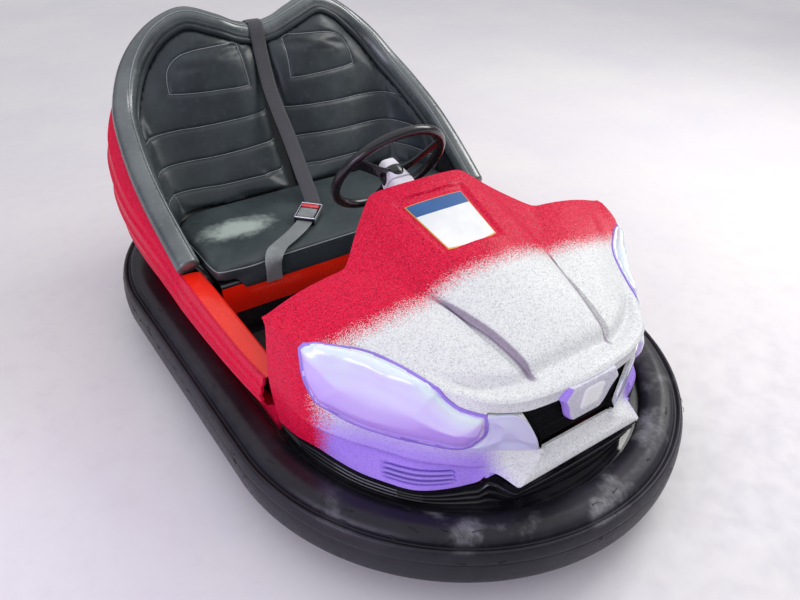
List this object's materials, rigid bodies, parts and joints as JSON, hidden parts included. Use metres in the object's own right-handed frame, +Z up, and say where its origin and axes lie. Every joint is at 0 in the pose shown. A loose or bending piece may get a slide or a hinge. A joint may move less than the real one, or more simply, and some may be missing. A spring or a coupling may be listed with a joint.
{
  "type": "bumper car",
  "caption": "Bumper car with a rubber bumper ring, glitter-finish body, padded bench seat, belt and steered front drive wheel.",
  "frame": {"origin": "on the floor under the middle of the bumper ring", "axes": "+Z up, the car faces -Y, the driver's left is +X"},
  "size_m": [1.2, 1.92, 0.872],
  "materials": {
    "bumper_rubber": "black moulded rubber, shiny rim, dusty on top",
    "frame_black": "black satin paint",
    "deck_black": "black gloss paint",
    "bare_steel": "machined steel",
    "hub_metal": "cast, satin",
    "wheel_rubber": "solid rubber, matt",
    "motor_paint": "dark oxide paint",
    "wheel_black": "black grip, satin",
    "column_grey": "pale smooth plastic",
    "tub_red": "red metallic glitter under clear coat",
    "liner_red": "bright orange-red, glossy",
    "shell_black": "black moulded",
    "seat_vinyl": "black vinyl, fine grain, stitched",
    "roll_vinyl": "black vinyl roll",
    "cowl_glitter": "red glitter fading to silver glitter, clear coat",
    "skirt_black": "black gloss",
    "dash_black": "black moulded",
    "lamp_cover": "translucent white, polished",
    "fog_lens": "tinted lens with slats",
    "grille_black": "black",
    "badge_white": "blank white",
    "plate_print": "blank white field, blue header band, thin gold border",
    "mat_rubber": "black, ribbed",
    "pedal_metal": "black",
    "battery_case": "black",
    "belt_web": "charcoal woven webbing",
    "buckle_metal": "chrome and black with a red button",
    "socket_black": "black"
  },
  "bodies": {
    "car": {"bumper_tyre": "bumper_rubber", "rim_band": "frame_black", "frame_rails": "frame_black", "cross_members": "frame_black", "floor_pan": "deck_black", "rear_axle": "bare_steel", "drive_bridge": "frame_black", "steering_box": "frame_black", "steering_tube": "column_grey", "tub": "tub_red", "cockpit_liner": "liner_red", "seat_base": "liner_red", "seat_shell": "shell_black", "seat_cushion": "seat_vinyl", "backrest_left": "seat_vinyl", "backrest_right": "seat_vinyl", "bolster": "roll_vinyl", "cowl": "cowl_glitter", "skirt": "skirt_black", "dash_panel": "dash_black", "headlight_left": "lamp_cover", "headlight_right": "lamp_cover", "fog_lamp_left": "fog_lens", "fog_lamp_right": "fog_lens", "grille_panel": "grille_black", "badge": "badge_white", "number_plate": "plate_print", "floor_mat": "mat_rubber", "accelerator_pedal": "pedal_metal", "battery_pack": "battery_case", "shoulder_belt": "belt_web", "lap_belt": "belt_web", "belt_buckle": "buckle_metal", "charge_socket": "socket_black"},
    "steering": {"steering_shaft": "bare_steel", "steering_wheel": "wheel_black"},
    "drive_unit": {"drive_fork": "bare_steel", "drive_motor": "motor_paint"},
    "drive_wheel": {"drive_hub": "hub_metal", "drive_tyre": "wheel_rubber"},
    "rear_wheel_left": {"rear_hub_left": "hub_metal", "rear_tyre_left": "wheel_rubber"},
    "rear_wheel_right": {"rear_hub_right": "hub_metal", "rear_tyre_right": "wheel_rubber"}
  },
  "joints": [
    {"name": "steering_turn", "type": "hinge", "parent": "car", "child": "steering", "pos_m": [0, -0.069, 0.611], "axis": [0, 0.8406, 0.5417], "continuous": true},
    {"name": "drive_unit_turn", "type": "hinge", "parent": "car", "child": "drive_unit", "pos_m": [0, -0.45, 0.1], "axis": [0, 0, 1], "continuous": true},
    {"name": "drive_wheel_roll", "type": "hinge", "parent": "drive_unit", "child": "drive_wheel", "pos_m": [0, -0.45, 0.1], "axis": [1, 0, 0], "continuous": true},
    {"name": "rear_wheel_left_roll", "type": "hinge", "parent": "car", "child": "rear_wheel_left", "pos_m": [0.33, 0.45, 0.1], "axis": [1, 0, 0], "continuous": true},
    {"name": "rear_wheel_right_roll", "type": "hinge", "parent": "car", "child": "rear_wheel_right", "pos_m": [-0.33, 0.45, 0.1], "axis": [1, 0, 0], "continuous": true}
  ],
  "couplings": [
    {"joint": "drive_unit_turn", "follows": "steering_turn", "ratio": 1}
  ]
}
